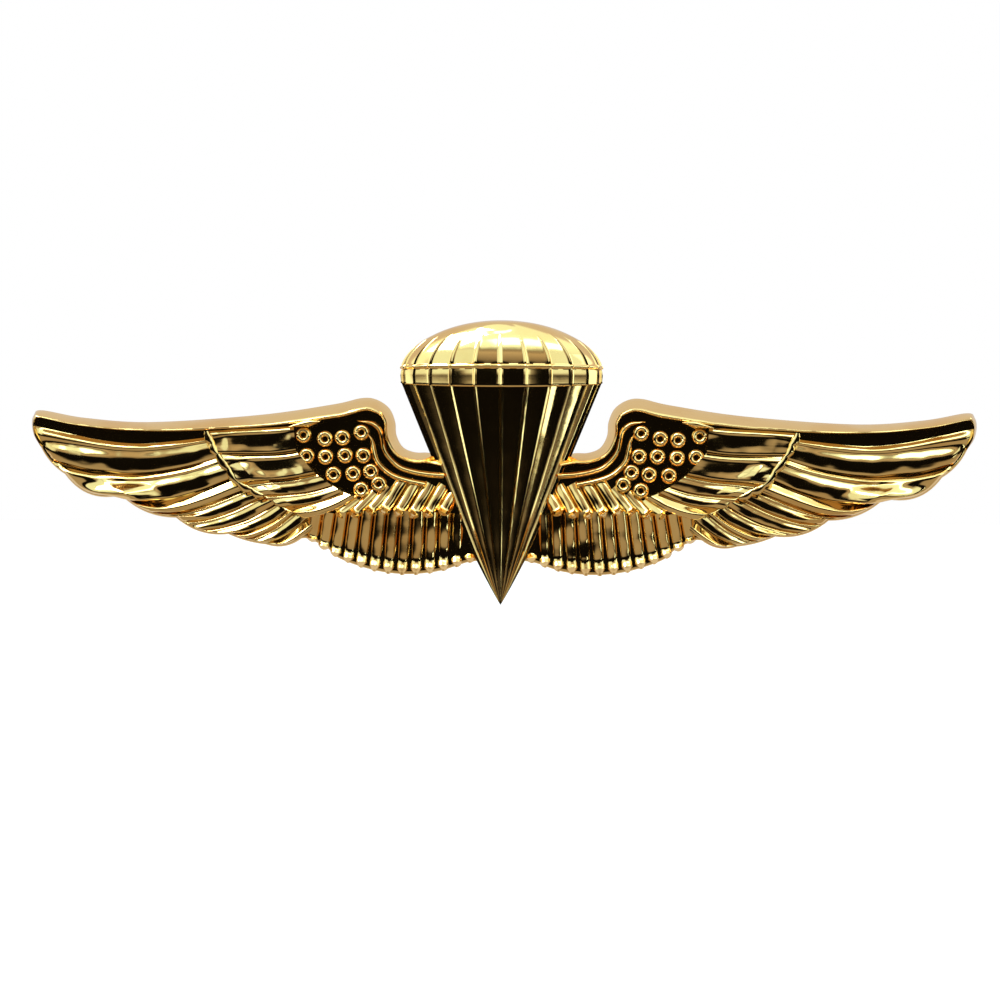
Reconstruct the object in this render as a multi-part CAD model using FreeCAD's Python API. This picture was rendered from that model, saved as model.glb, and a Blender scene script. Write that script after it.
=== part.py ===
import FreeCAD, Part
import math
import os

# Gold-plated parachutist wings badge. Millimetres. +Z is up as worn, +X to the viewer's right,
# and the badge faces -Y. The origin is on the flat back, midway between the two posts, and the
# posts and their pinch clutches stand out along +Y.

# --- Driving dimensions ---------------------------------------------------------------------
HALF_SPAN = 35.0            # wing tip to the badge's centre line
PLATE = 0.9                 # thickness of the struck sheet under the relief
ROOT = 0.3                  # how far each relief blade is buried in the sheet
LINE_GAP = 0.06             # half the width of the struck line between two feathers

CANOPY_HALF_WIDTH = 7.4
CANOPY_DEPTH = 2.8          # how far the canopy bulges in front of the sheet
CONE_DEPTH = 2.5
CONE_APEX_Z = -9.2
CONE_POWER = 0.92           # a little under 1: the cone swells slightly between its top and its point
CONE_LEVELS = (-2.5, -7.5)
SKIRT_Z = 6.9               # lower edge of the skirt band
WIDEST_Z = 7.7              # the dome is half an ellipsoid that stands on this level
CROWN_Z = 11.85
SKIRT_SHARE = 0.985         # width of the skirt's lower edge as a share of the widest level
DOME_STEPS = 8
GORES = 12
FLUTE_DEPTH = 0.09          # valley depth between suspension lines, as a share of the radius
PEG_RADIUS = 0.5
PEG_HEIGHTS = (-0.8, -4.4)
PEG_ROOT = 0.3              # how far a peg runs into the parachute

POST_X = 12.0
PAD_RADIUS = 1.6
PAD_THICKNESS = 0.3
SOLDER_RADIUS = 2.0         # radius of the locating recess, which the solder fills
SOLDER_DROP = 0.04          # how far the solder stays under the back face
NECK_RADIUS = 0.65
NECK_LENGTH = 1.4
SHAFT_RADIUS = 0.575
SHAFT_START = 2.0
GROOVE_RADIUS = 0.47
GROOVE_LENGTH = 0.4
GROOVES_Y = (3.15, 4.5)
TIP_START = 5.4
POST_LENGTH = 6.7
TIP_RADIUS = 0.08

CLOTH_GAP = 2.1             # back face to the clutch at rest: the thickness of a lined coat
BASE_RADIUS = 5.0
BASE_THICKNESS = 0.35
BASE_HOLE_RADIUS = 0.8
FUNNEL_RADIUS = 1.25
RIM_WIDTH = 0.45            # the rolled rim's thickness, and its corners' bevels
RIM_HEIGHT = 0.95
RIM_BEVEL = 0.1
RIM_BEND = 0.35
RIM_INNER_BEVEL = 0.2
FLANGE_RADIUS = 3.7
FLANGE_THICKNESS = 0.3
LIP_WIDTH = 0.3
LIP_OVERLAP = 0.25
LIP_THICKNESS = 0.2

COVER_RADIUS = 3.25
COVER_SHOULDER = 4.0        # height where the cover's wall turns into its domed top
SHOULDER_DROP = 0.1         # the hollow's shoulder is this much lower
COVER_HEIGHT = 5.95
COVER_WALL = 0.3
CHEEK = 2.0                 # the cover's two flat sides stand this far from the post
WINDOW_HALF_WIDTH = 1.65
WINDOW_LOW = 1.2
WINDOW_HIGH = 4.3
WINDOW_INNER = 2.0

PIVOT_U = 2.0               # finger wing pivot, out from the post
PIVOT_V = 3.0               # and up from the clutch's front face
KNUCKLE_RADIUS = 0.45
KNUCKLE_HALF = 1.6
TRUNNION_RADIUS = 0.32
TRUNNION_CLEARANCE = 0.04
TRUNNION_HALF = 1.94
FINGER_SHEET = 0.4
FINGER_BEND = 0.5
JAW_NOTCH_RADIUS = SHAFT_RADIUS + 0.03
JAW_TIP_U = 0.15
JAW_HEIGHT = 1.2
JAW_BEND_U = 1.4            # where the jaw turns up into the leg
JAW_HALF_WIDTH = 1.2
JAW_OVERLAP = 0.3
EAR_TIP_U = 6.35
EAR_ROUTE = [(3.7, 3.25), (EAR_TIP_U, 4.75)]                    # (u, v) from the pivot out to the tip
EAR_ROOT_HALF = 1.4
EAR_SIDE = [(3.45, EAR_ROOT_HALF), (4.4, 1.9), (5.4, 1.95), (6.1, 1.3), (EAR_TIP_U + 0.05, 0.0)]

SPRING_WIRE = 0.2           # wire radius
SPRING_HEIGHT = 1.95
SPRING_HALF_LENGTH = 2.14
SPRING_HALF_WIDTH = 1.45
SPRING_CORNER = 0.7
SPRING_MOUTH = 0.5

V = FreeCAD.Vector
X_AXIS = V(1, 0, 0)
Y_AXIS = V(0, 1, 0)
Z_AXIS = V(0, 0, 1)
ORIGIN = V(0, 0, 0)
MIDDLE_PLANE = (ORIGIN, X_AXIS)

# --- Right wing's drawing: (x, z) points on the badge's face --------------------------------
TOP_OF_CENTRE = (0.0, 1.0)
LEADING_EDGE = [(4.2, 1.75), (5.4, 2.0), (6.4, 2.03), (7.3, 2.4), (7.8, 3.3), (7.9, 4.3), (8.35, 5.3),
                (9.3, 5.93), (10.4, 6.02), (12.5, 5.55), (18.0, 4.75), (26.0, 4.2), (31.0, 4.5), (34.2, 5.1)]
WING_TIP = [(34.2, 5.1), (34.8, 4.7), (HALF_SPAN - 0.05, 4.0), (34.2, 2.3)]
FEATHER_NOTCHES = [(34.2, 2.3), (32.4, 0.3), (28.2, -1.25), (24.1, -2.9), (20.2, -4.1),
                   (17.4, -4.85), (14.8, -4.4)]
NOTCH_BULGES = [0.2, 0.75, 0.45, 0.45, 0.12, 0.35]
LOWER_EDGE = [(14.8, -4.4), (13.1, -5.1), (12.0, -6.0), (9.5, -6.85), (7.0, -7.15),
              (4.5, -6.9), (2.2, -6.2), (0.0, -6.1)]
RIM_INNER = [(4.2, 0.95), (6.0, 1.2), (7.3, 1.45), (8.35, 2.4), (8.65, 4.1), (9.7, 4.95),
             (11.5, 4.75), (16.0, 4.0), (22.0, 3.6), (27.0, 3.55), (31.0, 3.95), (34.0, 4.3)]

PRIMARY_EDGES = [
    [(22.0, 3.5), (27.0, 3.45), (31.0, 3.75), (34.3, 4.05)],
    [(21.6, 3.05), (24.0, 2.75), (27.0, 2.45), (30.0, 2.7), (34.0, 3.4)],
    [(21.0, 1.4), (23.0, 0.75), (25.5, 0.3), (28.5, 0.1), (32.2, 0.45)],
    [(19.8, -0.05), (22.0, -0.85), (24.5, -1.45), (28.0, -1.15)],
    [(19.0, -0.9), (21.0, -1.75), (23.0, -2.35), (24.2, -2.65)],
    [(17.5, -1.5), (19.2, -2.9), (21.2, -3.85)],
    [(16.2, -2.2), (17.6, -3.45), (19.2, -4.2)],
    [(14.9, -2.9), (16.2, -3.95), (17.2, -4.6)],
    [(14.0, -3.3), (14.7, -3.9), (15.2, -4.35)],
]
COVERT_EDGES = [
    [(14.6, 3.95), (17.0, 3.75), (21.6, 3.45)],
    [(15.2, 2.0), (17.0, 1.75), (20.6, 1.7)],
    [(14.4, 0.15), (16.5, -0.15), (19.5, 0.0)],
    [(12.6, -0.65), (14.2, -1.15), (17.0, -1.2)],
    [(11.6, -1.0), (13.2, -1.75), (15.8, -2.1)],
]
RINGS = [(10.4, 3.4), (11.6, 3.1), (13.0, 3.0), (14.7, 3.2), (9.9, 1.8), (11.4, 1.75),
         (12.8, 1.7), (14.2, 1.55), (9.5, 0.65), (10.8, 0.4), (12.1, 0.45), (8.9, -0.3)]
RING_OUTER = 0.56
RING_INNER = 0.2
RING_PIT = 0.45
RING_FIELD = [(9.5, 4.2), (14.4, 4.1), (14.9, 2.0), (12.4, -0.5), (9.0, -0.95), (8.5, 0.4)]
NECK_BEADS = [
    [(4.6, 0.3), (6.5, 0.58), (8.1, 1.45), (8.7, 2.6), (9.2, 3.8)],
    [(6.6, -0.2), (8.6, 0.72), (9.3, 1.7), (9.6, 2.9)],
]
BEAD_WIDTH = 0.42
BEAD_LEAN = 0.7             # a bead's two edges are shifted this share as far sideways as up and down
RIM_SHIFT = (0.05, -0.1)    # the rim band starts this far inside the leading edge

UPPER_ROW = [((4.6, -0.9), (5.2, -2.5)), ((5.7, -0.8), (6.6, -2.6)), ((6.8, -0.6), (7.9, -2.5)),
             ((7.9, -0.6), (9.1, -2.2)), ((9.2, -1.3), (10.1, -2.5)), ((10.5, -1.7), (11.7, -2.6))]
LOWER_ROW_COUNT = 13
LOWER_ROW_START = (2.6, -3.1)
LOWER_ROW_END = (13.0, -2.9)
LOWER_ROW_TIPS = [(2.4, -5.7), (7.0, -6.55), (13.3, -4.45)]
ROW_FEATHER_WIDTH = 0.7

RIM_TOP = 1.75
PRIMARY_TOPS = (1.35, 1.3, 1.4, 1.3, 1.4, 1.3, 1.4, 1.3)
COVERT_TOPS = (1.7, 1.6, 1.7, 1.6)
FIELD_TOP = 1.35
RING_TOP = 1.65
BEAD_TOP = 1.6
UPPER_ROW_TOP = 1.55
LOWER_ROW_TOP = 1.3


def face_point(x, z, y=0.0):
    return V(x, y, z)


def cap_radius(half_width, rise):
    """Radius of the circular arc that rises this much over this half width."""
    return (half_width ** 2 + rise ** 2) / (2 * rise)


def curve(points, y):
    """One smooth edge through (x, z) points, at depth y."""
    spline = Part.BSplineCurve()
    spline.interpolate([face_point(x, z, y) for x, z in points])
    return spline.toShape()


def line(a, b, y):
    return Part.makeLine(face_point(*a, y), face_point(*b, y))


def bulged(a, b, bulge, y):
    """An arc from a to b that stands out by bulge, to the left of the way it runs."""
    dx, dz = b[0] - a[0], b[1] - a[1]
    length = math.hypot(dx, dz)
    middle = ((a[0] + b[0]) / 2 - dz / length * bulge, (a[1] + b[1]) / 2 + dx / length * bulge)
    return Part.Arc(face_point(*a, y), face_point(*middle, y), face_point(*b, y)).toShape()


def mirrored(shape):
    return shape.mirror(*MIDDLE_PLANE)


def prism(edges, top):
    """A blade of relief: its outline, drawn inside the sheet, raised to top in front of the back face."""
    face = Part.Face(Part.Wire(Part.__sortEdges__(edges)))
    return face.extrude(V(0, -(top - PLATE + ROOT), 0))


def blade_floor():
    return -(PLATE - ROOT)


# --- Wings -----------------------------------------------------------------------------------
def wing_outline(y):
    """Edges of the right half's outline, from the top of the centre line to its foot."""
    edges = [line(TOP_OF_CENTRE, LEADING_EDGE[0], y), curve(LEADING_EDGE, y), curve(WING_TIP, y)]
    pairs = zip(FEATHER_NOTCHES, FEATHER_NOTCHES[1:], NOTCH_BULGES)
    edges += [bulged(a, b, bulge, y) for a, b, bulge in pairs]
    edges.append(curve(LOWER_EDGE, y))
    return edges


def half_sheet():
    edges = wing_outline(0.0)
    edges.append(line(LOWER_EDGE[-1], TOP_OF_CENTRE, 0.0))
    face = Part.Face(Part.Wire(Part.__sortEdges__(edges)))
    return face.extrude(V(0, -PLATE, 0))


def strip(upper, lower, top):
    """A relief blade between two long edges that run the same way."""
    y = blade_floor()
    edges = [curve(upper, y), curve(lower, y), line(upper[0], lower[0], y), line(upper[-1], lower[-1], y)]
    return prism(edges, top)


def lowered(points, drop):
    return [(x, z - drop) for x, z in points]


def feathers(edges, tops):
    """Neighbouring feathers between successive edges, with a struck line between them."""
    pairs = zip(edges, edges[1:], tops)
    return [strip(lowered(a, LINE_GAP), lowered(b, -LINE_GAP), top) for a, b, top in pairs]


def round_bar(start, end, width, top):
    """A short feather: a bar with rounded ends."""
    sx, sz = start
    ex, ez = end
    length = math.hypot(ex - sx, ez - sz)
    half = width / 2
    height = top - PLATE + ROOT
    bar = Part.makeBox(length, height, width, V(0, -height, -half))
    for x in (0, length):
        bar = bar.fuse(Part.makeCylinder(half, height, V(x, 0, 0), V(0, -1, 0)))
    bar = bar.removeSplitter()
    bar.rotate(ORIGIN, Y_AXIS, -math.degrees(math.atan2(ez - sz, ex - sx)))
    bar.translate(face_point(sx, sz, blade_floor()))
    return bar


def bead(points, width, top):
    """A narrow raised band along a curve."""
    half = width / 2
    lower = [(x + half * BEAD_LEAN, z - half) for x, z in points]
    upper = [(x - half * BEAD_LEAN, z + half) for x, z in points]
    return strip(upper, lower, top)


def rim():
    """The broad raised band round the neck and along the leading edge."""
    y = blade_floor()
    inset = [(x + RIM_SHIFT[0], z + RIM_SHIFT[1]) for x, z in LEADING_EDGE]
    edges = [curve(inset, y), curve(RIM_INNER, y), line(inset[0], RIM_INNER[0], y),
             line(inset[-1], RIM_INNER[-1], y)]
    return prism(edges, RIM_TOP)


def ring_field():
    """The raised ground of small round scales near the neck, with its rings."""
    y = blade_floor()
    corners = RING_FIELD + RING_FIELD[:1]
    pieces = [prism([line(a, b, y) for a, b in zip(corners, corners[1:])], FIELD_TOP)]
    height = RING_TOP - PLATE + ROOT
    pieces += [Part.makeCylinder(RING_OUTER, height, face_point(x, z, y), V(0, -1, 0)) for x, z in RINGS]
    return pieces


def ring_centres():
    """What is cut out of the rings' middles."""
    return [Part.makeCylinder(RING_INNER, RING_PIT, face_point(x, z, -RING_TOP), Y_AXIS) for x, z in RINGS]


def lower_row():
    """The row of short upright feathers along the wing's foot."""
    bars = []
    (x0, z0), (x1, z1) = LOWER_ROW_START, LOWER_ROW_END
    tips = Part.BSplineCurve()
    tips.interpolate([face_point(x, z) for x, z in LOWER_ROW_TIPS])
    for i in range(LOWER_ROW_COUNT):
        share = i / (LOWER_ROW_COUNT - 1)
        tip = tips.value(share)
        root = (x0 + (x1 - x0) * share, z0 + (z1 - z0) * share)
        bars.append(round_bar(root, (tip.x, tip.z), ROW_FEATHER_WIDTH, LOWER_ROW_TOP))
    return bars


def right_relief():
    pieces = [rim()]
    pieces += feathers(PRIMARY_EDGES, PRIMARY_TOPS)
    pieces += feathers(COVERT_EDGES, COVERT_TOPS)
    pieces += ring_field()
    pieces += [bead(points, BEAD_WIDTH, BEAD_TOP) for points in NECK_BEADS]
    pieces += [round_bar(a, b, ROW_FEATHER_WIDTH, UPPER_ROW_TOP) for a, b in UPPER_ROW]
    pieces += lower_row()
    return pieces


def wings_plate():
    """The struck wings: raised feathers on a sheet, recesses for the pads, and the parachute's seat."""
    half = half_sheet().fuse(right_relief())
    for centre in ring_centres():
        half = half.cut(centre)
    wings = half.fuse(mirrored(half)).removeSplitter()
    for x in (-POST_X, POST_X):
        wings = wings.cut(Part.makeCylinder(SOLDER_RADIUS, PAD_THICKNESS, V(x, 0, 0), V(0, -1, 0)))
    return wings.cut(parachute())


# --- Parachute -------------------------------------------------------------------------------
def rib_ring(z, share, depth):
    """Points on every rib at height z, from the left edge round the front to the right edge."""
    points = []
    for i in range(GORES + 1):
        angle = math.pi * i / GORES
        x = -CANOPY_HALF_WIDTH * share * math.cos(angle)
        points.append(V(x, -PLATE - depth * share * math.sin(angle), z))
    return points


def fluted_ring(z, share, depth):
    """The rib points of rib_ring with a sunk valley point between each two."""
    ribs = rib_ring(z, share, depth)
    points = [ribs[0]]
    for a, b in zip(ribs, ribs[1:]):
        middle = (a + b) * 0.5
        back = V(0, -PLATE, z)
        points += [middle + (back - middle) * FLUTE_DEPTH, b]
    return points


def flat(points):
    return Part.Face(Part.makePolygon(points + points[:1]))


def solid_of(faces):
    return Part.Solid(Part.makeShell(faces))


def line_cone():
    """The half cone of suspension lines, fluted between its ribs."""
    apex = V(0, -PLATE, CONE_APEX_Z)
    rings = []
    for z in (SKIRT_Z, *CONE_LEVELS):
        share = ((z - CONE_APEX_Z) / (SKIRT_Z - CONE_APEX_Z)) ** CONE_POWER
        rings.append(fluted_ring(z, SKIRT_SHARE * share, CONE_DEPTH))
    faces = [flat(rings[0])]
    for high, low in zip(rings, rings[1:]):
        faces += [flat([a, b, d, c]) for a, b, c, d in zip(high, high[1:], low, low[1:])]
        faces.append(flat([high[0], low[0], low[-1], high[-1]]))
    last = rings[-1]
    faces += [flat([a, b, apex]) for a, b in zip(last, last[1:])]
    faces.append(flat([last[0], apex, last[-1]]))
    return solid_of(faces)


def canopy():
    """The skirt band and the dome above it, in flat-faced gores."""
    levels = [(SKIRT_Z, SKIRT_SHARE)]
    for i in range(DOME_STEPS):
        angle = math.pi / 2 * i / DOME_STEPS
        levels.append((WIDEST_Z + (CROWN_Z - WIDEST_Z) * math.sin(angle), math.cos(angle)))
    rings = [rib_ring(z, share, CANOPY_DEPTH) for z, share in levels]
    faces = [flat(rings[0]), flat(rings[-1])]
    for low, high in zip(rings, rings[1:]):
        faces += [flat([low[i], low[i + 1], high[i + 1], high[i]]) for i in range(GORES)]
        faces.append(flat([low[0], high[0], high[-1], low[-1]]))
    return solid_of(faces)


def parachute():
    """The applied parachute, with the two pegs that rivet it through the wings."""
    body = canopy().fuse(line_cone())
    for z in PEG_HEIGHTS:
        body = body.fuse(Part.makeCylinder(PEG_RADIUS, PLATE + PEG_ROOT, V(0, 0, z), V(0, -1, 0)))
    return body.removeSplitter()


# --- Posts -----------------------------------------------------------------------------------
def turned(profile, x):
    """Revolve a closed (radius, y) profile about the post's axis at x."""
    points = [V(x + r, y, 0) for r, y in profile]
    return flat(points).revolve(V(x, 0, 0), Y_AXIS, 360)


def post(x):
    """A nail-headed post: a pad, a thicker neck, a grooved shaft and a pointed end."""
    profile = [(0, -PAD_THICKNESS), (PAD_RADIUS, -PAD_THICKNESS), (PAD_RADIUS, 0), (NECK_RADIUS, 0),
               (NECK_RADIUS, NECK_LENGTH), (SHAFT_RADIUS, SHAFT_START)]
    taper = (SHAFT_RADIUS - GROOVE_RADIUS) / 2
    for y in GROOVES_Y:
        profile += [(SHAFT_RADIUS, y), (GROOVE_RADIUS, y + taper),
                    (GROOVE_RADIUS, y + GROOVE_LENGTH - taper), (SHAFT_RADIUS, y + GROOVE_LENGTH)]
    profile += [(SHAFT_RADIUS, TIP_START), (TIP_RADIUS, POST_LENGTH), (0, POST_LENGTH)]
    return turned(profile, x)


def solder(x):
    """The solder ring that fills the recess round the pad, slightly dished."""
    profile = [(PAD_RADIUS, -PAD_THICKNESS), (SOLDER_RADIUS, -PAD_THICKNESS),
               (SOLDER_RADIUS, -SOLDER_DROP), ((PAD_RADIUS + SOLDER_RADIUS) / 2, -2 * SOLDER_DROP),
               (PAD_RADIUS, -SOLDER_DROP)]
    return turned(profile, x)


# --- Clutches. u is out from the post along X, v is out from the clutch's front face along Y ---
def clutch_base(x):
    """The round base: funnel hole, rolled rim, and the lip crimped over the cover's flange."""
    lip = FLANGE_RADIUS + LIP_WIDTH
    flange_top = BASE_THICKNESS + FLANGE_THICKNESS
    profile = [
        (BASE_HOLE_RADIUS, BASE_THICKNESS), (BASE_HOLE_RADIUS, BASE_THICKNESS / 2), (FUNNEL_RADIUS, 0),
        (BASE_RADIUS - RIM_BEND, 0), (BASE_RADIUS - RIM_BEVEL, RIM_BEVEL), (BASE_RADIUS, RIM_BEND),
        (BASE_RADIUS, RIM_HEIGHT - RIM_INNER_BEVEL), (BASE_RADIUS - RIM_BEVEL, RIM_HEIGHT),
        (BASE_RADIUS - RIM_WIDTH + RIM_BEVEL, RIM_HEIGHT),
        (BASE_RADIUS - RIM_WIDTH, RIM_HEIGHT - RIM_INNER_BEVEL), (BASE_RADIUS - RIM_WIDTH, BASE_THICKNESS),
        (lip, BASE_THICKNESS), (lip, flange_top + LIP_THICKNESS - RIM_BEVEL),
        (lip - RIM_BEVEL, flange_top + LIP_THICKNESS),
        (FLANGE_RADIUS - LIP_OVERLAP, flange_top + LIP_THICKNESS), (FLANGE_RADIUS - LIP_OVERLAP, flange_top),
        (FLANGE_RADIUS, flange_top), (FLANGE_RADIUS, BASE_THICKNESS),
    ]
    return turned([(r, CLOTH_GAP + v) for r, v in profile], x)


def domed(x, radius, shoulder, height):
    """A solid with a straight wall and a domed top, standing on the base."""
    foot = CLOTH_GAP + BASE_THICKNESS
    rise = height - shoulder
    dome_radius = cap_radius(radius, rise)
    dome_centre = V(x, CLOTH_GAP + height - dome_radius, 0)
    half_angle = math.asin(radius / dome_radius) / 2
    top = V(x, CLOTH_GAP + height, 0)
    corner = V(x + radius, CLOTH_GAP + shoulder, 0)
    bend = dome_centre + V(math.sin(half_angle), math.cos(half_angle), 0) * dome_radius
    middle, side = V(x, foot, 0), V(x + radius, foot, 0)
    edges = [Part.makeLine(middle, side), Part.makeLine(side, corner),
             Part.Arc(corner, bend, top).toShape(), Part.makeLine(top, middle)]
    return Part.Face(Part.Wire(edges)).revolve(V(x, 0, 0), Y_AXIS, 360)


def slab(x, half_width):
    reach = 2 * BASE_RADIUS
    return Part.makeBox(2 * reach, 2 * reach, 2 * half_width, V(x - reach, 0, -half_width))


def pivot(x, side):
    return V(x + side * PIVOT_U, CLOTH_GAP + PIVOT_V, 0)


def clutch_cover(x):
    """The hollow domed cover: two flat cheeks that carry the trunnions, and a window on each side."""
    outer = domed(x, COVER_RADIUS, COVER_SHOULDER, COVER_HEIGHT).common(slab(x, CHEEK))
    foot = V(x, CLOTH_GAP + BASE_THICKNESS, 0)
    outer = outer.fuse(Part.makeCylinder(FLANGE_RADIUS, FLANGE_THICKNESS, foot, Y_AXIS))
    inner = domed(x, COVER_RADIUS - COVER_WALL, COVER_SHOULDER - SHOULDER_DROP, COVER_HEIGHT - COVER_WALL)
    cover = outer.cut(inner.common(slab(x, CHEEK - COVER_WALL)))
    window_height = WINDOW_HIGH - WINDOW_LOW
    for side in (-1, 1):
        near = x + (WINDOW_INNER if side > 0 else -WINDOW_INNER - BASE_RADIUS)
        corner = V(near, CLOTH_GAP + WINDOW_LOW, -WINDOW_HALF_WIDTH)
        cover = cover.cut(Part.makeBox(BASE_RADIUS, window_height, 2 * WINDOW_HALF_WIDTH, corner))
        hole = Part.makeCylinder(TRUNNION_RADIUS + TRUNNION_CLEARANCE, 2 * CHEEK + 1,
                                 pivot(x, side) - Z_AXIS * (CHEEK + 0.5), Z_AXIS)
        cover = cover.cut(hole)
    return cover.removeSplitter()


def bent_path(points, radius):
    """Straight runs joined by tangent arcs, as one wire."""
    edges = []
    start = points[0]
    for before, corner, after in zip(points, points[1:], points[2:]):
        back = (before - corner).normalize()
        on = (after - corner).normalize()
        half_turn = back.getAngle(on) / 2
        reach = radius / math.tan(half_turn)
        first, last = corner + back * reach, corner + on * reach
        middle_way = (back + on).normalize()
        middle = corner + middle_way * (radius / math.sin(half_turn) - radius)
        edges += [Part.makeLine(start, first), Part.Arc(first, middle, last).toShape()]
        start = last
    edges.append(Part.makeLine(start, points[-1]))
    return Part.Wire(edges)


def finger_profile():
    """The finger wing's sheet seen edge on: jaw, leg, knuckle and ear, in (u, v) at the XY plane."""
    route = [V(JAW_TIP_U, JAW_HEIGHT, 0), V(JAW_BEND_U, JAW_HEIGHT, 0), V(PIVOT_U, PIVOT_V, 0)]
    route += [V(u, v, 0) for u, v in EAR_ROUTE]
    half = FINGER_SHEET / 2
    left, right = offset_path(route, half), offset_path(route, -half)
    return Part.Face(Part.Wire(Part.__sortEdges__(
        bent_path(left, FINGER_BEND).Edges + bent_path(right, FINGER_BEND).Edges
        + [Part.makeLine(left[0], right[0]), Part.makeLine(left[-1], right[-1])])))


def offset_path(points, distance):
    """The same route moved sideways by distance, with its corners mitred."""
    moved = []
    ways = [(b - a).normalize() for a, b in zip(points, points[1:])]
    for i, point in enumerate(points):
        before, after = ways[max(i - 1, 0)], ways[min(i, len(ways) - 1)]
        normal = (Z_AXIS.cross(before) + Z_AXIS.cross(after)).normalize()
        moved.append(point + normal * (distance / normal.dot(Z_AXIS.cross(before))))
    return moved


def finger_plan():
    """The finger wing's outline seen along the post: narrow jaw and neck, broad rounded ear."""
    tall = 2 * BASE_RADIUS
    jaw_length = PIVOT_U + JAW_OVERLAP - JAW_TIP_U
    jaw = Part.makeBox(jaw_length, tall, 2 * JAW_HALF_WIDTH, V(JAW_TIP_U, 0, -JAW_HALF_WIDTH))
    there = [V(u, 0, w) for u, w in EAR_SIDE]
    back = [V(u, 0, -w) for u, w in EAR_SIDE[-2::-1]]
    spline = Part.BSplineCurve()
    spline.interpolate(there + back)
    root = V(PIVOT_U, 0, EAR_ROOT_HALF), V(PIVOT_U, 0, -EAR_ROOT_HALF)
    edges = [Part.makeLine(root[0], there[0]), spline.toShape(), Part.makeLine(back[-1], root[1]),
             Part.makeLine(*root)]
    ear = Part.Face(Part.Wire(Part.__sortEdges__(edges))).extrude(V(0, tall, 0))
    return jaw.fuse(ear)


def clutch_finger(x, side):
    """One finger wing: a jaw that grips the post, a knuckle that turns in the cover, an ear to pinch."""
    sheet = finger_profile().extrude(V(0, 0, 2 * CHEEK))
    sheet.translate(V(0, 0, -CHEEK))
    finger = sheet.common(finger_plan())
    centre = V(PIVOT_U, PIVOT_V, 0)
    finger = finger.fuse([
        Part.makeCylinder(KNUCKLE_RADIUS, 2 * KNUCKLE_HALF, centre - Z_AXIS * KNUCKLE_HALF, Z_AXIS),
        Part.makeCylinder(TRUNNION_RADIUS, 2 * TRUNNION_HALF, centre - Z_AXIS * TRUNNION_HALF, Z_AXIS),
    ])
    finger = finger.cut(Part.makeCylinder(JAW_NOTCH_RADIUS, BASE_RADIUS, ORIGIN, Y_AXIS)).removeSplitter()
    finger.translate(V(0, CLOTH_GAP, 0))
    if side < 0:
        finger = mirrored(finger)
    finger.translate(V(x, 0, 0))
    return finger


def clutch_spring(x):
    """An open loop of wire round both legs, which pulls the jaws together."""
    height = CLOTH_GAP + SPRING_HEIGHT
    long, wide = SPRING_HALF_LENGTH, SPRING_HALF_WIDTH
    corners = [(SPRING_MOUTH, -wide), (long, -wide), (long, wide), (-long, wide), (-long, -wide),
               (-SPRING_MOUTH, -wide)]
    path = bent_path([V(x + u, height, w) for u, w in corners], SPRING_CORNER)
    start = path.Edges[0].Vertexes[0].Point
    section = Part.Wire(Part.makeCircle(SPRING_WIRE, start, X_AXIS))
    return path.makePipeShell([section], True, True)


def export(name, shape):
    shape.exportStep(f"parts/{name}.step")


def main():
    os.makedirs("parts", exist_ok=True)
    export("wings_plate", wings_plate())
    export("parachute", parachute())
    for side_name, x in (("left", -POST_X), ("right", POST_X)):
        outward = 1 if x > 0 else -1
        export(f"post_{side_name}", post(x))
        export(f"solder_{side_name}", solder(x))
        export(f"clutch_base_{side_name}", clutch_base(x))
        export(f"clutch_cover_{side_name}", clutch_cover(x))
        export(f"clutch_spring_{side_name}", clutch_spring(x))
        export(f"finger_{side_name}_outer", clutch_finger(x, outward))
        export(f"finger_{side_name}_inner", clutch_finger(x, -outward))


main()
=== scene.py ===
import bpy
import bmesh
import math
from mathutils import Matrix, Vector, noise


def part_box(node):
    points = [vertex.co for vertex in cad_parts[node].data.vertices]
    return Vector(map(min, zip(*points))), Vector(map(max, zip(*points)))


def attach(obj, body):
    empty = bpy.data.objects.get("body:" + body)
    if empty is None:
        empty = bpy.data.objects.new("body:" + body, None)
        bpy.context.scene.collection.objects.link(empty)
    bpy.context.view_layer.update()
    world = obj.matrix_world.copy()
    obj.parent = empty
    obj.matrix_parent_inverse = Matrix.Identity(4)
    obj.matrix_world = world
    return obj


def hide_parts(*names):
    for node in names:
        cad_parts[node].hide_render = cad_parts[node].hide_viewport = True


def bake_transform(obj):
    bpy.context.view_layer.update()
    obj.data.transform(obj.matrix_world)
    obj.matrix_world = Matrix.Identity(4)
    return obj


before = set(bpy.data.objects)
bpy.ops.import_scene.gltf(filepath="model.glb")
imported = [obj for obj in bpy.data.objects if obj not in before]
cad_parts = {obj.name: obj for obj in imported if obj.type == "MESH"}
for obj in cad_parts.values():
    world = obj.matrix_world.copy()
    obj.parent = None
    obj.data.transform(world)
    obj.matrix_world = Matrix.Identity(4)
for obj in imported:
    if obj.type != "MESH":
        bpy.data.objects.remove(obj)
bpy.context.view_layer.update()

# The badge stands upright: +X to the viewer's right, +Z up, and its face looks along -Y. Everything below
# is drawn in millimetres, as (x, z) on the face and a height in front of the flat back, and times MM it is
# in metres.
MM = 0.001
MERGE = 1e-7                # points closer than this, in metres, are one

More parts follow.
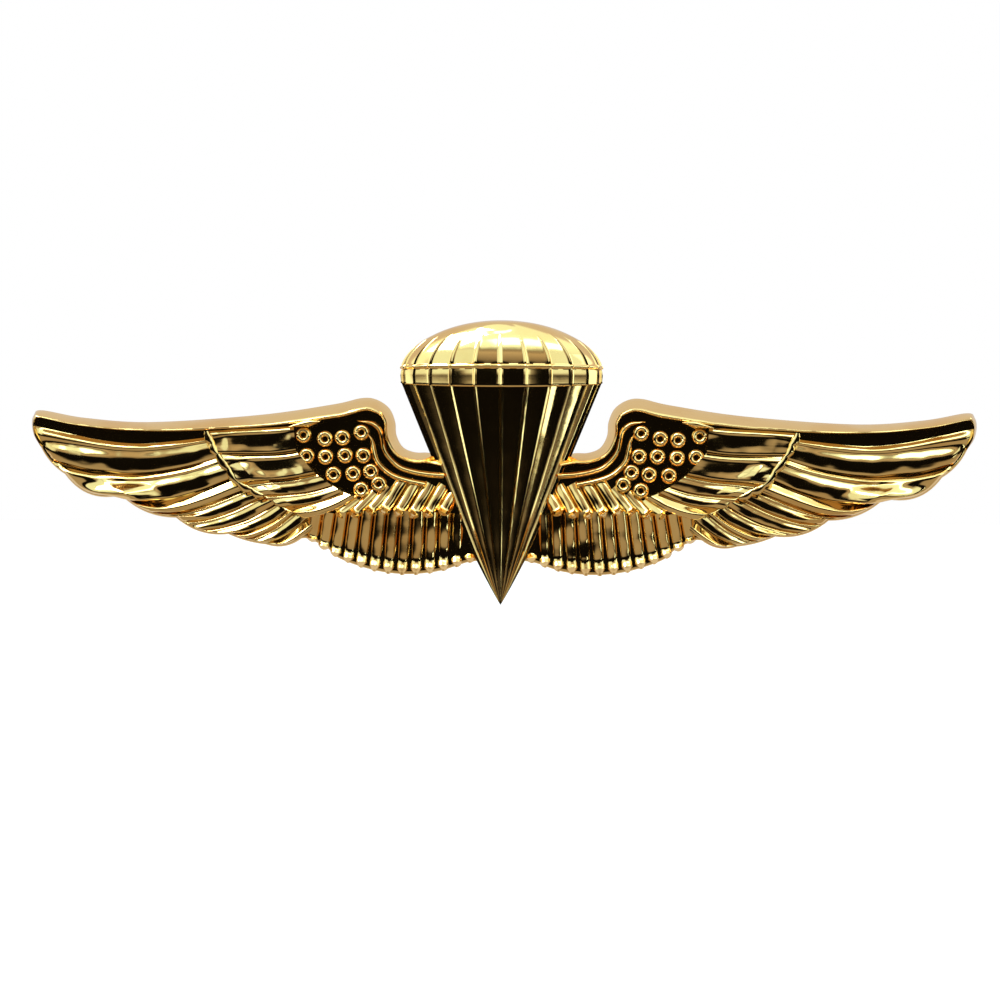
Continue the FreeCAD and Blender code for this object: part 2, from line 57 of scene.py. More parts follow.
# --- Sizes taken from the frame -------------------------------------------------------------
_, PLATE_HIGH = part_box("wings_plate")
CHUTE_LOW, CHUTE_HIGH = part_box("parachute")
PAD_LOW, PAD_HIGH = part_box("solder_right")
POST_X = (PAD_LOW[0] + PAD_HIGH[0]) / 2 / MM
SOLDER_RADIUS = (PAD_HIGH[0] - PAD_LOW[0]) / 2 / MM
RECESS = -PAD_LOW[1] / MM
HALF_SPAN = PLATE_HIGH[0] / MM
APEX_Z = CHUTE_LOW[2] / MM
CROWN_Z = CHUTE_HIGH[2] / MM
CANOPY_HALF = (CHUTE_HIGH[0] - CHUTE_LOW[0]) / 2 / MM
CHUTE_X = (CHUTE_HIGH[0] + CHUTE_LOW[0]) / 2 / MM

# --- Heights in front of the back face, in mm -----------------------------------------------
SHEET = 0.9
FLOOR = 0.55                # relief is rooted this high, inside the sheet
SHEET_BORDER = [            # the sheet's rounded border: how far in from its outline, and height
    (0.0, RECESS), (0.0, SHEET - 0.26), (0.04, SHEET - 0.12), (0.12, SHEET - 0.03), (0.24, SHEET),
]
RIM_FOOT = 0.36
RIM_LOW = 0.45              # share of its height that the rim keeps where it is narrow
RIM_FULL_WIDTH = 0.7
PRIMARY_BASE = 0.95
PRIMARY_STEP = 0.03         # every other feather stands this much higher
COVERT_BASE = 1.42
COVERT_STEP = 0.04
RING_FOOT = 1.28
RING_RISE = 0.3
NECK_BEAD_BASE = 1.1
NECK_BEAD_RISE = 0.4
LOWER_ROW_HEIGHTS = (1.8, 0.8)          # root and tip of a short feather
UPPER_ROW_HEIGHTS = (1.15, 1.8)
ROW_SINK = 0.7              # the lower row's first feathers sink this far under the parachute
SUNK_FEATHERS = 3
CANOPY_DEPTH = 2.8          # the parachute's depths are in front of the sheet
CONE_DEPTH = 2.5
CONE_SETBACK = 0.04         # the cone's back is this far in front of the canopy's
PEG_RADIUS = 0.5
PEG_PLACES = (-0.8, -4.4)
PEG_SEAM = 0.05
UNDER_ROW = 0.15            # the row of down stands past the sheet by this much
UNDER_RIM = 0.62            # the sheet ends under the rim, this share of the rim's width inside it

# --- How a feather runs, in shares of its length ----------------------------------------------
ROOT_LEAN = 0.34            # its section leans to "slope" over this share at the root
TIP_LEAN_AT, TIP_LEAN = 0.8, 0.2        # and round here, over this share to either side, near the tip
TIP_LIFT = 0.2              # height that is left at the very tip
TIP_BEND = 6                # the larger, the nearer the tip it bends to follow the border
PRIMARY_INSETS = (0.3, 0.14)            # in mm, of the first feather's tip and the others', off the border
COVERT_TIP_BULGES = (0.1, 0.12)         # in mm, of the two halves of a covert's tip
ROW_STEPS = 22
ROW_CROWDING = 1.5          # steps of a short feather crowd towards its tip
ROW_ARCH = 0.42             # its edges lie this share of its width lower than its middle
ROW_TIP, ROW_TIP_LEAST = 0.16, 0.06     # its tip is round over this share, and never narrower than this
ROW_DROP, ROW_DROP_OVER = 0.12, 0.08    # and falls by this much, over this share
TIP_CURL = 0.34             # height of its turned-up end, where that is highest, and how far it reaches
CURL_AT, CURL_REACH = 0.88, 0.09

# --- Unevenness of the struck face -------------------------------------------------------------
WAVE = 0.09                 # height in mm
WAVE_RATES = (0.42, 0.42 * 1.6)         # how often it rises per mm, across and up
RIPPLE_RATES = (0.42 * 2.7, 0.42 * 3.1)
RIPPLE_SHARE = 0.35
RIPPLE_SLICE = 5.0          # depth at which the noise is cut for the ripple
WAVE_FADE = 0.5             # it fades out over this height above the floor

# --- The right wing's drawing, (x, z) in mm --------------------------------------------------
TOP_OF_CENTRE = (0.0, 1.0)
TOP_BEND = (2.0, 1.2)       # between that and the leading edge, behind the parachute
LEADING_EDGE = [(4.2, 1.75), (5.4, 2.0), (6.4, 2.03), (7.3, 2.4), (7.8, 3.3), (7.9, 4.3), (8.35, 5.3),
                (9.3, 5.93), (10.4, 6.02), (12.5, 5.55), (18.0, 4.75), (26.0, 4.2), (31.0, 4.5), (34.2, 5.05)]
WING_TIP = [(34.2, 5.05), (34.8, 4.7), (HALF_SPAN, 4.0), (34.75, 3.1), (34.2, 2.3)]
RIM_WIDTHS = [(0.0, 0.8), (0.06, 0.85), (0.11, 0.78), (0.15, 0.75), (0.2, 1.0), (0.28, 1.12), (0.45, 1.0),
              (0.6, 0.85), (0.7, 0.72), (0.85, 0.66), (0.91, 0.6), (0.94, 0.42), (0.97, 0.26), (1.0, 0.08)]
FEATHER_NOTCHES = [(34.2, 2.3), (32.4, 0.3), (28.2, -1.25), (24.1, -2.9), (20.2, -4.1), (17.4, -4.85),
                   (14.8, -4.4)]
NOTCH_BULGES = [0.2, 0.75, 0.45, 0.45, 0.12, 0.35]
LOWER_EDGE = [(14.8, -4.4), (13.1, -5.1), (12.0, -6.0), (9.5, -6.85), (7.0, -7.15), (4.5, -6.9),
              (2.2, -6.2), (0.0, -6.1)]

# Edges between neighbouring flight feathers, each from under the coverts out to the wing's border, with
# the cross section of the feather below it and how far that leans to "slope" at its root and near its tip.
PRIMARY_EDGES = [
    ([(19.8, 3.3), (22.1, 3.02), (24.3, 2.76), (27.0, 2.58), (29.6, 2.82), (32.2, 3.35),
      (34.55, 3.85)], "vane", 0.1, 0.25),
    ([(18.8, 2.2), (20.8, 1.6), (22.8, 0.95), (25.2, 0.47), (27.4, 0.27), (29.2, 0.42), (31.0, 0.6),
      (33.3, 1.1)], "vane", 0.85, 0.85),
    ([(17.8, 0.6), (19.9, -0.02), (22.0, -0.85), (24.2, -1.5), (26.5, -1.75), (28.2, -1.25)], "slope", 0, 0),
    ([(17.4, -0.3), (19.2, -0.95), (21.6, -1.9), (23.6, -2.5), (25.6, -2.35)], "vane", 0.75, 0.3),
    ([(16.8, -0.9), (18.0, -1.5), (19.9, -2.4), (21.8, -3.0), (23.6, -3.15)], "vane", 0.9, 0.0),
    ([(15.8, -1.3), (17.0, -2.1), (18.7, -3.0), (20.4, -3.55), (22.0, -3.75)], "vane", 0.2, 0.6),
    ([(15.2, -1.7), (16.4, -2.8), (17.8, -3.55), (19.2, -4.0), (20.2, -4.1)], "slope", 0, 0),
    ([(14.4, -1.8), (15.4, -2.6), (16.7, -3.6), (18.0, -4.25), (19.0, -4.5)], "vane", 0.9, 0.4),
    ([(13.4, -2.2), (14.5, -3.1), (15.7, -4.0), (16.6, -4.5), (17.4, -4.85)], "slope", 0, 0),
    ([(12.6, -2.6), (13.4, -3.4), (14.2, -4.0), (14.8, -4.4)], "", 0, 0),
]
COVERT_EDGES = [
    ([(15.3, 3.9), (17.0, 3.78), (19.5, 3.66), (21.75, 3.5)], "deep", 0.3, 0.2),
    ([(15.1, 2.02), (16.5, 1.85), (18.6, 1.78), (20.9, 1.8)], "deep", 0.2, 0.5),
    ([(13.6, 0.35), (15.5, -0.02), (17.5, -0.2), (19.3, -0.35)], "vane", 0.2, 0.6),
    ([(12.4, -0.5), (14.0, -0.95), (15.8, -1.15), (17.5, -1.2)], "vane", 0.9, 0.3),
    ([(11.6, -0.95), (12.8, -1.45), (14.4, -1.9), (16.2, -2.05)], "slope", 0, 0),
    ([(10.6, -1.35), (11.8, -2.15), (13.0, -2.65), (14.2, -2.9)], "", 0, 0),
]
RINGS = [(10.3, 3.46), (11.7, 3.05), (13.0, 2.97), (14.6, 3.25), (10.15, 1.75), (11.5, 1.75), (12.95, 1.65),
         (14.35, 1.7), (9.6, 0.58), (10.9, 0.42), (12.35, 0.35), (9.0, -0.33), (10.3, -0.75)]
RING_RADIUS = 0.38
RING_WIDTH = 0.42
RING_STEPS = 28
RING_LEAN = 0.12            # largest slope of a ring's face
RING_LEAN_STEP = 2.4        # the slope and its direction change by these from ring to ring, in radians
RING_WAY_STEP = 1.7
NECK_BEADS = [
    [(4.2, 0.3), (5.4, 0.39), (6.5, 0.58), (7.45, 0.9), (8.15, 1.5), (8.6, 2.2), (8.76, 3.0), (9.0, 3.7),
     (9.6, 4.15), (10.6, 4.3)],
    [(5.6, -0.35), (6.8, -0.1), (7.9, 0.25), (8.65, 0.75), (9.2, 1.4), (9.42, 2.2), (9.55, 2.9), (9.8, 3.35)],
]
NECK_BEAD_WIDTHS = [(0, 0.45), (0.85, 0.4), (1, 0.1)]
UPPER_ROW = [((3.2, -0.6), (4.4, -2.6)), ((4.2, -0.4), (5.5, -2.8)), ((5.2, -0.3), (6.6, -2.85)),
             ((6.2, -0.1), (7.7, -2.75)), ((7.2, 0.0), (8.8, -2.6)), ((8.2, -0.6), (9.8, -2.6)),
             ((9.3, -1.0), (11.0, -2.75)), ((10.5, -1.5), (12.1, -2.7))]
LOWER_ROW_ROOTS = [(2.2, -2.6), (7.2, -2.3), (13.6, -2.5)]
LOWER_ROW_TIPS = [(2.3, -6.15), (4.6, -6.85), (7.0, -7.1), (9.5, -6.8), (12.0, -5.9), (14.0, -4.65)]
LOWER_ROW_COUNT = 13
UPPER_ROW_WIDTH = 0.95
LOWER_ROW_WIDTH = 0.9
TIPPED_COVERTS = 3          # the first coverts have a bead along the tip
COVERT_TIP_WIDTHS = [(0.0, 0.4), (0.3, 0.7), (0.5, 0.4), (0.75, 0.6), (1.0, 0.35)]
COVERT_TIP_RISE = 0.2
COVERT_TIP_FOOT = 0.12
COVERT_KNOB = [(13.3, 4.25), (14.4, 4.1), (15.6, 3.85)]
COVERT_KNOB_WIDTHS = [(0, 0.1), (0.4, 0.6), (1, 0.1)]
COVERT_KNOB_RISE = 0.35
COVERT_KNOB_FOOT = 0.2

# Cross sections of relief, as (place across, height) pairs. A feather's height is a share of its width.
SECTIONS = {
    "vane": [(0.0, 0.0), (0.06, 0.033), (0.13, 0.07), (0.17, 0.078), (0.205, 0.062), (0.24, 0.046),
             (0.28, 0.05), (0.36, 0.07), (0.45, 0.096), (0.54, 0.108), (0.75, 0.1), (0.9, 0.08),
             (0.95, 0.058), (1.0, 0.0)],
    "slope": [(0.0, 0.0), (0.1, 0.05), (0.3, 0.15), (0.5, 0.25), (0.6, 0.275), (0.68, 0.26),
              (0.78, 0.22), (0.9, 0.18), (1.0, 0.02)],
    "deep": [(0.0, 0.0), (0.06, 0.033), (0.12, 0.066), (0.16, 0.072), (0.2, 0.054), (0.24, 0.04),
             (0.36, 0.042), (0.5, 0.044), (0.6, 0.05), (0.7, 0.07), (0.8, 0.096), (0.88, 0.112),
             (0.93, 0.1), (1.0, 0.02)],
}
RIM = [(0.0, 0.0), (0.15, 0.36), (0.4, 0.81), (0.6, 1.11), (0.77, 1.31), (0.83, 1.34), (0.88, 1.34),
       (0.94, 1.2), (1.0, 0.5)]
BAR = [(0.0, 0.0), (0.08, 0.52), (0.2, 0.84), (0.35, 0.97), (0.5, 1.0), (0.65, 0.97), (0.8, 0.84),
       (0.92, 0.52), (1.0, 0.0)]
ROUND = [(0.0, 0.0), (0.12, 0.6), (0.3, 0.9), (0.5, 1.0), (0.7, 0.9), (0.88, 0.6), (1.0, 0.0)]


# --- Curves ----------------------------------------------------------------------------------
def spline_value(values, place):
    """Catmull-Rom through evenly numbered tuples; place runs from 0 to the last number."""
    i = min(int(place), len(values) - 2)
    u = place - i
    a = values[max(i - 1, 0)]
    b, c = values[i], values[i + 1]
    d = values[min(i + 2, len(values) - 1)]
    return tuple(
        0.5 * (2 * q + (r - p) * u + (2 * p - 5 * q + 4 * r - s) * u * u + (3 * q - p - 3 * r + s) * u ** 3)
        for p, q, r, s in zip(a, b, c, d)
    )


def smooth(points, count, fineness=400):
    """count points evenly spaced along the smooth curve through these points."""
    fine = [spline_value(points, (len(points) - 1) * i / fineness) for i in range(fineness + 1)]
    lengths = [0.0]
    for a, b in zip(fine, fine[1:]):
        lengths.append(lengths[-1] + math.dist(a, b))
    out, j = [], 0
    for i in range(count):
        want = lengths[-1] * i / (count - 1)
        while j < len(fine) - 2 and lengths[j + 1] < want:
            j += 1
        share = (want - lengths[j]) / max(lengths[j + 1] - lengths[j], 1e-9)
        out.append(tuple(p + (q - p) * share for p, q in zip(fine[j], fine[j + 1])))
    return out


def section_height(section, place):
    """Height of a cross section at a place from 0 to 1, rounded through its points."""
    for i, ((a, _), (b, _)) in enumerate(zip(section, section[1:])):
        if place <= b:
            return max(spline_value(section, i + (place - a) / (b - a))[1], 0.0)
    return section[-1][1]


def table_value(table, place):
    """Straight-line reading of (place, value) pairs."""
    for (a, va), (b, vb) in zip(table, table[1:]):
        if place <= b:
            return va + (vb - va) * (place - a) / (b - a)
    return table[-1][1]


def section_places(section, per_step):
    """Places across a section, with the same number of steps between each two of its points."""
    places = [section[0][0]]
    for (a, _), (b, _) in zip(section, section[1:]):
        places += [a + (b - a) * (k + 1) / per_step for k in range(per_step)]
    return places


def clamped(value):
    return min(max(value, 0.0), 1.0)


def struck(x, z, height, share):
    """A height with a share of the slight unevenness of struck metal, none of it at the back."""
    swell = noise.noise(Vector((x * WAVE_RATES[0], z * WAVE_RATES[1], 0.0)))
    ripple = noise.noise(Vector((x * RIPPLE_RATES[0], z * RIPPLE_RATES[1], RIPPLE_SLICE)))
    raised = clamped((height - FLOOR) / WAVE_FADE)
    return height + share * WAVE * (swell + RIPPLE_SHARE * ripple) * raised


# --- Mesh building -----------------------------------------------------------------------------
class Builder:
    """Collects the closed shapes of one object, in millimetres, drawn on the badge's right side."""

    def __init__(self):
        self.verts = []
        self.faces = []

    def grid(self, rows):
        """A sheet of quads from rows of (x, z, height) points; returns the rows' vertex numbers."""
        numbers = []
        for row in rows:
            start = len(self.verts)
            self.verts += row
            numbers.append(list(range(start, start + len(row))))
        for low, high in zip(numbers, numbers[1:]):
            for k in range(len(low) - 1):
                self.faces.append((low[k], low[k + 1], high[k + 1], high[k]))
        return numbers

    def slab(self, rows, floor, under=None):
        """A grid closed by walls and a floor at one height, which follows the rows under if given."""
        top = self.grid(rows)
        bottom = self.grid([[(x, z, floor) for x, z, _ in row] for row in under or rows])
        first = len(self.faces) - (len(rows) - 1) * (len(rows[0]) - 1)
        self.faces[first:] = [face[::-1] for face in self.faces[first:]]
        self.wall(top[0], bottom[0])
        self.wall(top[-1][::-1], bottom[-1][::-1])
        self.wall([row[-1] for row in top], [row[-1] for row in bottom])
        self.wall([row[0] for row in top][::-1], [row[0] for row in bottom][::-1])

    def wall(self, top, bottom):
        for k in range(len(top) - 1):
            self.faces.append((top[k], bottom[k], bottom[k + 1], top[k + 1]))

    def finish(self, name, sign, material, body, node, sharp=40, wave=1.0):
        """Make the object, mirrored if sign is -1, riding on body in place of the CAD node."""
        verts = [(sign * x * MM, -struck(sign * x, z, h, wave) * MM, z * MM) for x, z, h in self.verts]
        dress(closed_mesh(name, verts, self.faces), name, material, body, node, sharp)


def closed_mesh(name, verts, faces):
    """A mesh with doubled points merged and its faces turned outwards."""
    mesh = bpy.data.meshes.new(name)
    mesh.from_pydata(verts, [], faces)
    bm = bmesh.new()
    bm.from_mesh(mesh)
    bmesh.ops.remove_doubles(bm, verts=bm.verts, dist=MERGE)
    bmesh.ops.recalc_face_normals(bm, faces=bm.faces)
    bm.to_mesh(mesh)
    bm.free()
    return mesh


def new_piece(mesh, name, material, sharp=40):
    """An object of this mesh, smooth but for edges that turn by more than sharp degrees."""
    mesh.shade_smooth()
    mesh.set_sharp_from_angle(angle=math.radians(sharp))
    mesh.materials.append(material)
    piece = bpy.data.objects.new(name, mesh)
    bpy.context.scene.collection.objects.link(piece)
    return piece


def dress(mesh, name, material, body, node, sharp=40):
    """A piece that rides on body in place of the CAD node."""
    piece = new_piece(mesh, name, material, sharp)
    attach(piece, body)
    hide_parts(node)


def rounded_tip(share, length):
    """Width of a blade near its tip: 1 until length from the end, then round."""
    if share < 1 - length:
        return 1.0
    return math.sqrt(max(1 - ((share - 1 + length) / length) ** 2, 0.0))


def bent(start, end, place, bend, pull):
    """A point across a feather, pulled by bend towards its place on the line of the tip."""
    return start + (end - start) * place + bend * pull


def blade(out, upper, lower, tip, section, leans, base, along=60, per_step=3, tip_length=0.05):
    """A feather between two long edges and a rounded tip, which bends with the line of points tip."""
    high, low = smooth(upper, along), smooth(lower, along)
    root_lean, tip_lean = leans
    places = section_places(SECTIONS[section], per_step)
    end = smooth(tip, len(places))
    (hx, hz), (lx, lz) = high[-1], low[-1]
    pulls = [(ex - hx - (lx - hx) * place, ez - hz - (lz - hz) * place)
             for place, (ex, ez) in zip(places, end)]
    rows = []
    for i, (a, b) in enumerate(zip(high, low)):
        share = i / (along - 1)
        lift = TIP_LIFT + (1 - TIP_LIFT) * rounded_tip(share, tip_length)
        bend = share ** TIP_BEND
        at_root = root_lean * (1 - share / ROOT_LEAN)
        at_tip = tip_lean * (1 - abs(share - TIP_LEAN_AT) / TIP_LEAN)
        lean = max(at_root, at_tip, 0.0)
        row = []
        for place, (pull_x, pull_z) in zip(places, pulls):
            height = (1 - lean) * section_height(SECTIONS[section], place)
            height += lean * section_height(SECTIONS["slope"], place)
            row.append((bent(a[0], b[0], place, bend, pull_x), bent(a[1], b[1], place, bend, pull_z),
                        base + lift * math.dist(a, b) * height))
        rows.append(row)
    out.slab(rows, FLOOR)


def side_ways(path, closed=False):
    """Unit vectors to the right of a path's run, one per point."""
    ways = []
    last = len(path) - 1
    for i in range(len(path)):
        before = path[i - 1] if i > 0 or closed else path[0]
        after = path[(i + 1) % len(path)] if i < last or closed else path[last]
        dx, dz = after[0] - before[0], after[1] - before[1]
        length = math.hypot(dx, dz)
        ways.append((dz / length, -dx / length))
    return ways


def ridge(out, points, widths, height, base, section=ROUND, along=60, per_step=2):
    """A raised band along a curve; widths is a table over the curve's length."""
    path = smooth(points, along)
    rows = []
    for i, ((x, z), (wx, wz)) in enumerate(zip(path, side_ways(path))):
        width = table_value(widths, i / (along - 1))
        row = []
        for place in section_places(section, per_step):
            offset = (place - 0.5) * width
            row.append((x + wx * offset, z + wz * offset, base + height * section_height(section, place)))
        rows.append(row)
    out.slab(rows, FLOOR)


# --- Materials ---------------------------------------------------------------------------------
def link(tree, a, b):
    tree.links.new(a, b)


def shader_node(tree, kind, **inputs):
    """A node with these input values, named with underscores for spaces."""
    node = tree.nodes.new(kind)
    for name, value in inputs.items():
        node.inputs[name.replace("_", " ")].default_value = value
    return node


def mix_node(tree, kind, factor, a, b):
    """A mix of two values or colours, each a number, a colour or another node's output."""
    node = tree.nodes.new("ShaderNodeMix")
    node.data_type = kind
    link(tree, factor, node.inputs["Factor"])
    for socket, value in (("A", a), ("B", b)):
        if isinstance(value, (float, tuple)):
            node.inputs[socket].default_value = value
        else:
            link(tree, value, node.inputs[socket])
    return node.outputs["Result"]


HAIR_STRETCH = (400.0, 400.0, 9000.0)
HAIR_TURN = math.radians(25)


def metal(name, colour, smudge_colour, roughness, waviness, scratch):
    """Plated metal: a slight orange peel, hairline rubs, and smudges that dull and tint it."""
    material = bpy.data.materials.new(name)
    material.use_nodes = True
    tree = material.node_tree
    shader = tree.nodes["Principled BSDF"]
    shader.inputs["Metallic"].default_value = 1.0
    place = tree.nodes.new("ShaderNodeTexCoord")
    smudges = shader_node(tree, "ShaderNodeTexNoise", Scale=260.0, Detail=4.0, Roughness=0.55)
    link(tree, place.outputs["Object"], smudges.inputs["Vector"])
    share = shader_node(tree, "ShaderNodeMapRange", From_Min=0.45, From_Max=0.8)
    link(tree, smudges.outputs["Fac"], share.inputs["Value"])
    tint = mix_node(tree, "RGBA", share.outputs["Result"], (*colour, 1), (*smudge_colour, 1))
    link(tree, tint, shader.inputs["Base Color"])
    bright, dulled = roughness
    dull = shader_node(tree, "ShaderNodeMapRange", From_Min=0.35, From_Max=0.75, To_Min=bright, To_Max=dulled)
    link(tree, smudges.outputs["Fac"], dull.inputs["Value"])
    link(tree, dull.outputs["Result"], shader.inputs["Roughness"])
    peel = shader_node(tree, "ShaderNodeTexNoise", Scale=900.0, Detail=2.0, Roughness=0.5)
    link(tree, place.outputs["Object"], peel.inputs["Vector"])
    stretch = tree.nodes.new("ShaderNodeMapping")
    stretch.inputs["Scale"].default_value = HAIR_STRETCH
    stretch.inputs["Rotation"].default_value = (0.0, HAIR_TURN, 0.0)
    link(tree, place.outputs["Object"], stretch.inputs["Vector"])
    hairs = shader_node(tree, "ShaderNodeTexNoise", Scale=1.0, Detail=2.0)
    link(tree, stretch.outputs["Vector"], hairs.inputs["Vector"])
    peel_bump = shader_node(tree, "ShaderNodeBump", Strength=1.0, Distance=waviness)
    link(tree, peel.outputs["Fac"], peel_bump.inputs["Height"])
    hair_bump = shader_node(tree, "ShaderNodeBump", Strength=1.0, Distance=scratch)
    link(tree, hairs.outputs["Fac"], hair_bump.inputs["Height"])
    link(tree, peel_bump.outputs["Normal"], hair_bump.inputs["Normal"])
    link(tree, hair_bump.outputs["Normal"], shader.inputs["Normal"])
    return material


GOLD = metal("polished_gold", colour=(1.0, 0.71, 0.31), smudge_colour=(0.93, 0.58, 0.21),
             roughness=(0.08, 0.12), waviness=0.000004, scratch=0.0000005)
BACK_GOLD = metal("satin_gold_back", colour=(0.93, 0.68, 0.3), smudge_colour=(0.84, 0.58, 0.24),
                  roughness=(0.25, 0.42), waviness=0.00003, scratch=0.000004)
BRASS = metal("clutch_brass", colour=(0.9, 0.68, 0.33), smudge_colour=(0.74, 0.5, 0.2),
              roughness=(0.16, 0.34), waviness=0.00002, scratch=0.000002)
STEEL = metal("spring_wire", colour=(0.62, 0.6, 0.57), smudge_colour=(0.45, 0.42, 0.38),
              roughness=(0.2, 0.36), waviness=0.00001, scratch=0.000002)


# --- Wings ---------------------------------------------------------------------------------------
def bulged(a, b, bulge, count=14):
    """Points of a shallow curve from a to b that stands out by bulge, to the left of its run."""
    dx, dz = b[0] - a[0], b[1] - a[1]
    length = math.hypot(dx, dz)
    out = []
    for i in range(count):
        share = i / (count - 1)
        stand = bulge * 4 * share * (1 - share) / length
        out.append((a[0] + dx * share - dz * stand, a[1] + dz * share + dx * stand))
    return out


def feathered_edge():
    """The scalloped border from the wing's tip to the row of down."""
    points = [FEATHER_NOTCHES[0]]
    for a, b, bulge in zip(FEATHER_NOTCHES, FEATHER_NOTCHES[1:], NOTCH_BULGES):
        points += bulged(a, b, bulge)[1:]
    return points


def tip_line(a, b, border, inset):
    """The stretch of border from the point nearest a to the point nearest b, drawn in by inset."""
    drawn_in = [(x + wx * inset, z + wz * inset) for (x, z), (wx, wz) in zip(border, side_ways(border))]
    first, last = (min(range(len(border)), key=lambda i: math.dist(border[i], end)) for end in (a, b))
    return drawn_in[first:last + 1]


def half_border(under_rim):
    """The right half's border as (x, z, how far the sheet stays inside it, its share of the bevel)."""
    points = [(x, z, 0.0, 0.0) for x, z in smooth([TOP_OF_CENTRE, TOP_BEND, LEADING_EDGE[0]], count=8)[:-1]]
    rim = smooth(LEADING_EDGE[:-1] + WING_TIP, count=150)
    for i, (x, z) in enumerate(rim[:-1]):
        points.append((x, z, under_rim * table_value(RIM_WIDTHS, i / (len(rim) - 1)), 0.0))
    points += [(x, z, 0.0, 1.0) for x, z in feathered_edge()]
    points += [(x, z, UNDER_ROW, 1.0) for x, z in smooth(LOWER_EDGE, count=50)[1:-1]]
    points.append((*LOWER_EDGE[-1], UNDER_ROW, 1.0))
    return points


def whole_border(bevel=0.0, under_rim=UNDER_RIM):
    """The closed outline of both wings, drawn in by bevel where the sheet shows."""
    right = half_border(under_rim)
    border = right + [(-x, *rest) for x, *rest in right[-2:0:-1]]
    ways = side_ways([point[:2] for point in border], closed=True)
    out = []
    for (x, z, inset, share), (wx, wz) in zip(border, ways):
        drawn_in = inset + bevel * share
        out.append((x + wx * drawn_in, z + wz * drawn_in))
    return out


def loop_edges(bm, points, height):
    """A closed loop of edges at one height."""
    verts = [bm.verts.new((x * MM, -height * MM, z * MM)) for x, z in points]
    return verts, [bm.edges.new((a, b)) for a, b in zip(verts, verts[1:] + verts[:1])]


def circle(x, z, radius, count=48):
    return [(x + radius * math.cos(2 * math.pi * i / count), z + radius * math.sin(2 * math.pi * i / count))
            for i in range(count)]


def plate_mesh(name, outer, holes, low, high):
    """A flat plate between two heights, with holes through it."""
    bm = bmesh.new()
    loops = [outer] + holes
    rims = {}
    for height in (low, high):
        edges = []
        rims[height] = []
        for loop in loops:
            verts, ring = loop_edges(bm, loop, height)
            rims[height].append(verts)
            edges += ring
        bmesh.ops.triangle_fill(bm, edges=edges, use_beauty=True)
    for below, above in zip(rims[low], rims[high]):
        for k in range(len(below)):
            n = (k + 1) % len(below)
            bm.faces.new((below[k], below[n], above[n], above[k]))
    bmesh.ops.recalc_face_normals(bm, faces=bm.faces)
    mesh = bpy.data.meshes.new(name)
    bm.to_mesh(mesh)
    bm.free()
    return mesh


def wing_sheet():
    """The struck sheet under the relief, with a rounded front border."""
    out = Builder()
    rings = []
    for inset, height in SHEET_BORDER:
        start = len(out.verts)
        border = whole_border(inset)
        out.verts += [(x, z, height) for x, z in border]
        rings.append(list(range(start, start + len(border))))
    for low, high in zip(rings, rings[1:]):
        for k in range(len(low)):
            n = (k + 1) % len(low)
            out.faces.append((low[k], low[n], high[n], high[k]))
    out.faces += [tuple(rings[0]), tuple(rings[-1])]
    out.finish("wing_sheet", 1, GOLD, "badge", "wings_plate", sharp=50)


def wing_back():
    """The flat back, with a recess round each post's pad and the parachute's two rivets."""
    recesses = [circle(side * POST_X, 0.0, SOLDER_RADIUS) for side in (-1, 1)]
    seams = [circle(CHUTE_X, z, PEG_RADIUS + PEG_SEAM, count=24) for z in PEG_PLACES]
    mesh = plate_mesh("wing_back", whole_border(under_rim=0.0), recesses + seams, 0.0, RECESS)
    dress(mesh, "wing_back", BACK_GOLD, "badge", "wings_plate")
    for number, z in enumerate(PEG_PLACES):
        name = f"parachute_rivet_{number + 1}"
        peg = plate_mesh(name, circle(CHUTE_X, z, PEG_RADIUS, count=24), [], 0.0, RECESS)
        dress(peg, name, BACK_GOLD, "badge", "parachute")


def wing_rim(name, sign):
    """The broad sloping band round the neck, along the leading edge and round the tip."""
    path = smooth(LEADING_EDGE[:-1] + WING_TIP, count=220)
    out = Builder()
    rows = []
    for i, ((x, z), (ix, iz)) in enumerate(zip(path, side_ways(path))):
        width = table_value(RIM_WIDTHS, i / (len(path) - 1))
        lift = RIM_LOW + (1 - RIM_LOW) * min(width / RIM_FULL_WIDTH, 1.0)
        row = []
        for place in section_places(RIM, 3):
            height = RIM_FOOT + lift * section_height(RIM, place)
            row.append((x + ix * width * place, z + iz * width * place, height))
        rows.append(row)
    out.slab(rows, RECESS)
    out.finish(name, sign, GOLD, "badge", "wings_plate")


def primaries(name, sign):
    """The long outer flight feathers."""
    out = Builder()
    border = smooth(WING_TIP, count=20)[:-1] + feathered_edge()
    for k, ((upper, section, *leans), (lower, *_)) in enumerate(zip(PRIMARY_EDGES, PRIMARY_EDGES[1:])):
        tip = tip_line(upper[-1], lower[-1], border, PRIMARY_INSETS[min(k, 1)])
        start, end = tip[0], tip[-1]
        base = PRIMARY_BASE + PRIMARY_STEP * (k % 2)
        blade(out, upper[:-1] + [start], lower[:-1] + [end], tip, section, leans, base)
    out.finish(name, sign, GOLD, "badge", "wings_plate")


